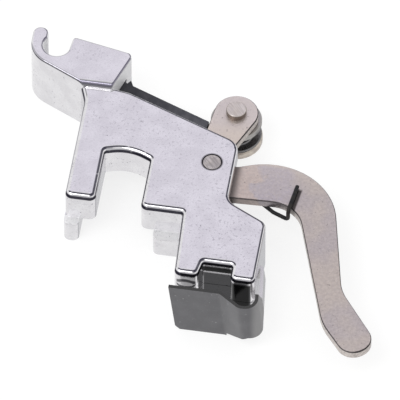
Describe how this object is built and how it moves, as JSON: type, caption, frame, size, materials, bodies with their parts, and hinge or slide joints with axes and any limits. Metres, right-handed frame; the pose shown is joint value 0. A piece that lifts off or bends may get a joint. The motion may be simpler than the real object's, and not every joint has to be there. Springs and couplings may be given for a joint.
{
  "type": "presser foot adapter",
  "caption": "Cast sewing-machine foot holder with a hooked screw notch, a sprung stamped lever with a roller, and a leaf-spring clip that takes a clip-on foot's cross pin.",
  "frame": {"origin": "on the axis of the clamp-screw notch, in the casting's back plane", "axes": "+X to the right across the front face, +Y up along the legs, +Z from the back to the front face"},
  "size_m": [0.0578, 0.0506, 0.0098],
  "materials": {
    "plated_casting": "bright plated casting with fine pits",
    "black_steel": "black oxide, satin",
    "pin_steel": "ground, lightly scratched",
    "nickel_stamping": "matte nickel plate with a warm tint",
    "dark_steel": "turned and blackened",
    "spring_wire": "black spring wire",
    "phosphated_spring_steel": "matte grey phosphate"
  },
  "bodies": {
    "body": {"body_casting": "plated_casting", "stop_plate": "black_steel", "pivot_pin": "pin_steel", "foot_clip": "phosphated_spring_steel"},
    "lever": {"lever": "nickel_stamping", "roller_pin": "pin_steel", "roller_washer": "nickel_stamping", "torsion_spring": "spring_wire"},
    "roller": {"roller": "dark_steel"}
  },
  "joints": [
    {"name": "lever_pivot", "type": "hinge", "parent": "body", "child": "lever", "pos_m": [0.0261, -0.0175, 0.00575], "axis": [0, 0, -1], "range_deg": [0, 18], "stiffness_Nm_per_rad": 0.0234, "springref_deg": -34.38, "deforming": ["torsion_spring"]},
    {"name": "roller_spin", "type": "hinge", "parent": "lever", "child": "roller", "pos_m": [0.0279, -0.0059, 0.00325], "axis": [0, 0, 1], "continuous": true}
  ]
}
